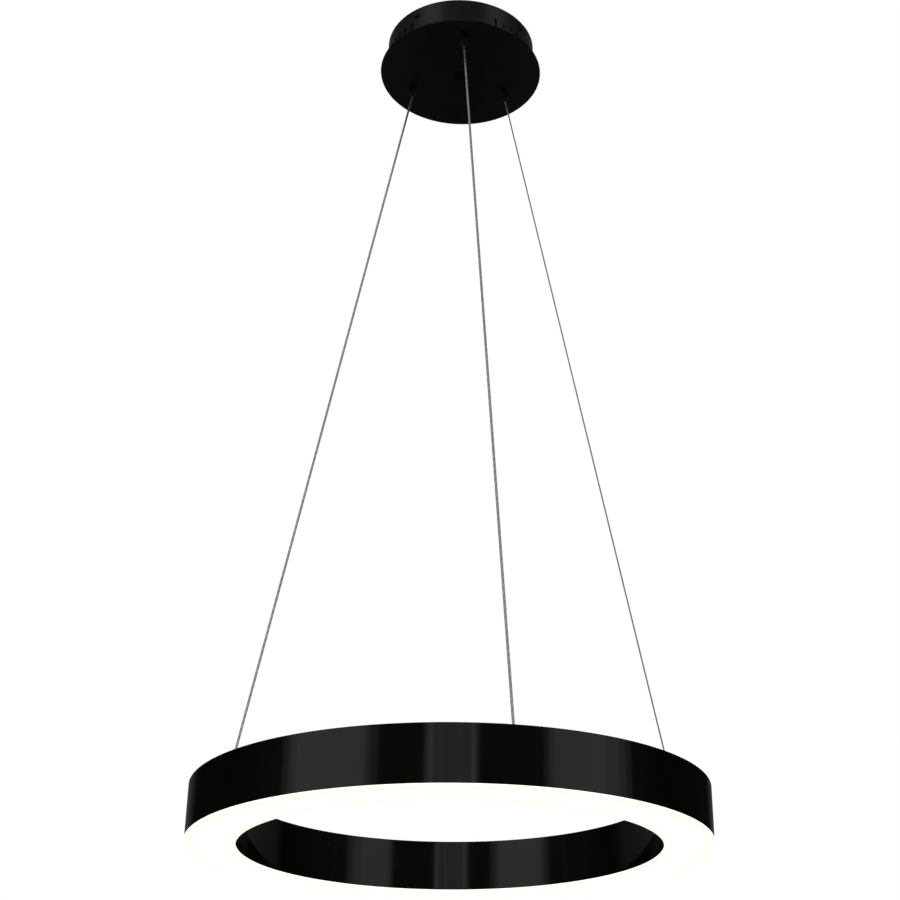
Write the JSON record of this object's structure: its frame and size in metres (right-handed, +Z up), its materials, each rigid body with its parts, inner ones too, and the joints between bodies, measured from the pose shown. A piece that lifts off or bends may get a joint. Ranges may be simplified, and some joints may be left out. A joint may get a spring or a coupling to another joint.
{
  "type": "ring pendant light",
  "caption": "Ring-shaped pendant light with an opal lower face, hung on straight cables from a round ceiling canopy with push-button cable grips.",
  "frame": {"origin": "centre of the ceiling bracket's upper face, on the ceiling and on the canopy's axis", "axes": "+Z up into the ceiling, so the lamp hangs towards -Z; +Y away from the picture's viewer and +X to the viewer's right"},
  "size_m": [0.6009, 0.601, 1.1646],
  "materials": {
    "ring_black": "gloss",
    "opal_acrylic": "satin",
    "spring_steel": "satin",
    "aluminium_sheet": "satin",
    "aluminium_rod": "satin",
    "board_white": "matte",
    "led_yellow": "gloss",
    "zinc_steel": "satin",
    "anchor_black": "satin",
    "cable_grey": "satin",
    "rope_steel": "satin",
    "terminal_white": "satin",
    "canopy_black": "gloss",
    "cap_black": "satin",
    "screw_black": "satin",
    "grip_nickel": "polished",
    "driver_grey": "matte",
    "circuit_green": "satin",
    "component_black": "satin",
    "lead_brown": "satin",
    "lead_green": "satin",
    "brass_screw": "satin"
  },
  "bodies": {
    "canopy": {"canopy_drum": "canopy_black", "face_plate": "canopy_black", "centre_cap": "cap_black", "ceiling_bracket": "zinc_steel", "side_screws": "screw_black", "grip_bodies": "grip_nickel", "grip_nuts": "zinc_steel", "spring_left": "spring_steel", "spring_middle": "spring_steel", "spring_right": "spring_steel", "cable_left": "cable_grey", "cable_middle": "cable_grey", "cable_right": "rope_steel", "tail_left": "cable_grey", "tail_middle": "cable_grey", "tail_right": "rope_steel", "rope_sleeve": "zinc_steel", "driver_tray": "driver_grey", "driver_lid": "driver_grey", "driver_circuit": "circuit_green", "circuit_parts": "component_black", "supply_leads": "lead_brown", "terminal_block": "terminal_white", "terminal_screws": "brass_screw", "earth_tag": "zinc_steel", "earth_lead": "lead_green", "plate_studs": "zinc_steel", "stud_nuts": "zinc_steel"},
    "ring": {"outer_wall": "ring_black", "inner_wall": "ring_black", "top_plate": "ring_black", "diffuser": "opal_acrylic", "diffuser_clips": "spring_steel", "led_carrier": "aluminium_sheet", "led_boards": "board_white", "leds": "led_yellow", "carrier_posts": "aluminium_rod", "carrier_screws": "zinc_steel", "cable_anchors": "anchor_black", "anchor_nuts": "zinc_steel", "cable_stops": "zinc_steel", "cable_ends": "cable_grey", "lead_terminals": "terminal_white"},
    "grip_left": {"plunger_left": "grip_nickel", "jaws_left": "brass_screw"},
    "grip_middle": {"plunger_middle": "grip_nickel", "jaws_middle": "brass_screw"},
    "grip_right": {"plunger_right": "grip_nickel", "jaws_right": "brass_screw"}
  },
  "joints": [
    {"name": "ring_height", "type": "slide", "parent": "canopy", "child": "ring", "axis": [0, 0, 1], "range_m": [0, 0.7], "deforming": ["cable_left", "cable_middle", "cable_right"]},
    {"name": "grip_release_left", "type": "slide", "parent": "canopy", "child": "grip_left", "axis": [0, 0, 1], "range_m": [0, 0.0015], "stiffness_N_per_m": 2000, "springref_m": -0.002, "deforming": ["spring_left"]},
    {"name": "grip_release_middle", "type": "slide", "parent": "canopy", "child": "grip_middle", "axis": [0, 0, 1], "range_m": [0, 0.0015], "stiffness_N_per_m": 2000, "springref_m": -0.002, "deforming": ["spring_middle"]},
    {"name": "grip_release_right", "type": "slide", "parent": "canopy", "child": "grip_right", "axis": [0, 0, 1], "range_m": [0, 0.0015], "stiffness_N_per_m": 2000, "springref_m": -0.002, "deforming": ["spring_right"]}
  ]
}
